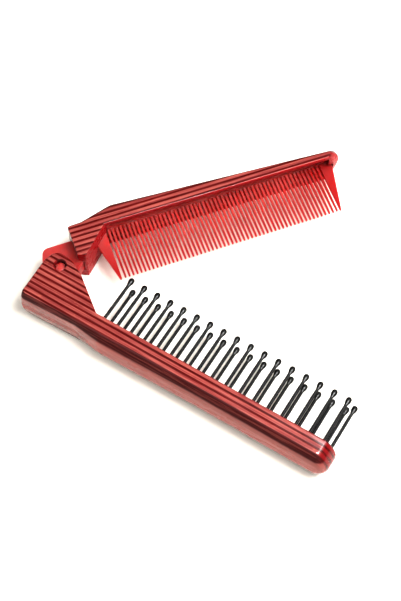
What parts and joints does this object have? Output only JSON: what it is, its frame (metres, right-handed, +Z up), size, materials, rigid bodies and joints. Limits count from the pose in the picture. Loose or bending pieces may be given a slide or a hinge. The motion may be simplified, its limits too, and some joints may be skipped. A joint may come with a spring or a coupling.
{
  "type": "folding comb",
  "caption": "Pocket comb of two arms on one hinge: one arm carries ball-tipped pins in rows, the other fine teeth that fold in between them.",
  "frame": {"origin": "centre of the bounding box's underside, on the surface that both arms lie on", "axes": "+X along the brush arm from the hinge to its tip, +Z up through the arms' thickness and along the hinge, +Y across, towards the comb arm"},
  "size_m": [0.1292, 0.1164, 0.015],
  "materials": {
    "striped_shell": "glossy, with dark lengthwise stripes",
    "plain_red": "smooth satin",
    "black_pins": "glossy"
  },
  "bodies": {
    "brush_arm": {"brush_shell": "striped_shell", "bristle_bed": "plain_red", "hinge_pin": "plain_red", "pin_01": "black_pins", "pin_02": "black_pins", "pin_03": "black_pins", "pin_04": "black_pins", "pin_05": "black_pins", "pin_06": "black_pins", "pin_07": "black_pins", "pin_08": "black_pins", "pin_09": "black_pins", "pin_10": "black_pins", "pin_11": "black_pins", "pin_12": "black_pins", "pin_13": "black_pins", "pin_14": "black_pins", "pin_15": "black_pins", "pin_16": "black_pins", "pin_17": "black_pins", "pin_18": "black_pins", "pin_19": "black_pins", "pin_20": "black_pins", "pin_21": "black_pins", "pin_22": "black_pins", "pin_23": "black_pins", "pin_24": "black_pins", "pin_25": "black_pins", "pin_26": "black_pins", "pin_27": "black_pins", "pin_28": "black_pins", "pin_29": "black_pins", "pin_30": "black_pins", "pin_31": "black_pins", "pin_32": "black_pins", "pin_33": "black_pins", "pin_34": "black_pins", "pin_35": "black_pins"},
    "comb_arm": {"comb_shell": "striped_shell", "comb_insert": "plain_red"}
  },
  "joints": [
    {"name": "fold", "type": "hinge", "parent": "brush_arm", "child": "comb_arm", "pos_m": [-0.05403, -0.03957, 0.0075], "axis": [0, 0, 1], "range_deg": [-51.2, 128.7]}
  ]
}
